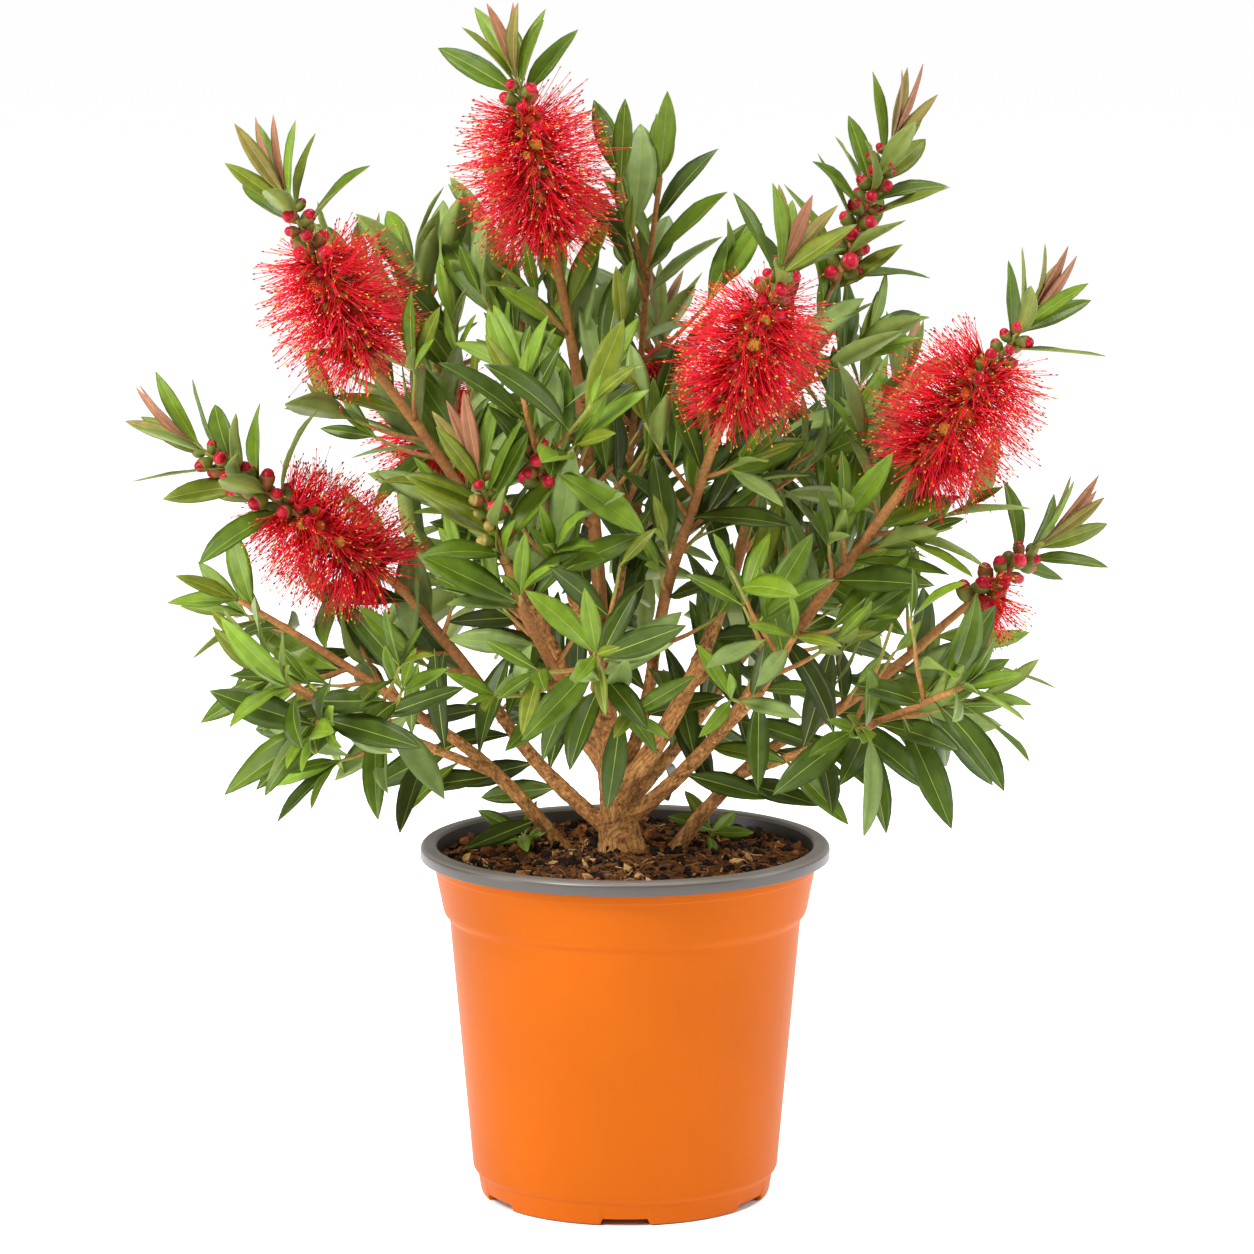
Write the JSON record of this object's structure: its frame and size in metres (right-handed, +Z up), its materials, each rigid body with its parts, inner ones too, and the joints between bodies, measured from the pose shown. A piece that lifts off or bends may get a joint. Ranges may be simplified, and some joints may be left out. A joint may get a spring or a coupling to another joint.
{
  "type": "potted bottlebrush shrub",
  "caption": "Flowering shrub in a round tapered nursery pot: short leaning trunk, spreading boughs, lance-shaped leaves, red brush-like flowers and bud spikes.",
  "frame": {"origin": "middle of the plant's and pot's footprint, on the ground under the pot", "axes": "+Z up along the pot's axis; -Y towards the viewer of the front; +X to the viewer's right"},
  "size_m": [0.5184, 0.3881, 0.6362],
  "materials": {
    "pot_orange": "smooth, slightly satin",
    "pot_grey": "smooth, matte",
    "soil": "loose crumbs of bark and peat",
    "bark": "rough bark",
    "foliage": "leathery, slightly glossy leaves",
    "blossom": "fine stamens and buds"
  },
  "bodies": {
    "root": {"pot": "pot_orange", "pot_rim": "pot_grey", "soil": "soil", "trunk": "bark", "bough_leader": "bark", "bough_right": "bark", "bough_right_high": "bark", "bough_right_back": "bark", "bough_centre": "bark", "bough_right_mid": "bark", "bough_right_low": "bark", "bough_left_low": "bark", "bough_left_mid": "bark", "bough_left_high": "bark", "bough_front_left": "bark", "bough_front": "bark", "bough_back_left": "bark", "bough_back": "bark", "bough_back_right": "bark", "bough_upper": "bark", "bough_upper_back": "bark", "bough_centre_front": "bark", "bough_left_back": "bark", "bough_front_right": "bark", "bough_low_front_left": "bark", "bough_low_front_right": "bark", "brush_leader": "blossom", "buds_right_high": "blossom", "brush_centre": "blossom", "brush_right_mid": "blossom", "brush_right_low": "blossom", "brush_left_mid": "blossom", "brush_left_high": "blossom", "buds_front_left": "blossom", "brush_back_left": "blossom", "brush_back": "blossom", "brush_back_right": "blossom", "leaves_leader": "foliage", "leaves_right_high": "foliage", "leaves_right_back": "foliage", "leaves_centre": "foliage", "leaves_right_mid": "foliage", "leaves_right_low": "foliage", "leaves_left_low": "foliage", "leaves_left_mid": "foliage", "leaves_left_high": "foliage", "leaves_front_left": "foliage", "leaves_front": "foliage", "leaves_back_left": "foliage", "leaves_back": "foliage", "leaves_back_right": "foliage", "leaves_upper": "foliage", "leaves_upper_back": "foliage", "leaves_centre_front": "foliage", "leaves_left_back": "foliage", "leaves_front_right": "foliage", "leaves_low_front_left": "foliage", "leaves_low_front_right": "foliage"}
  },
  "joints": []
}
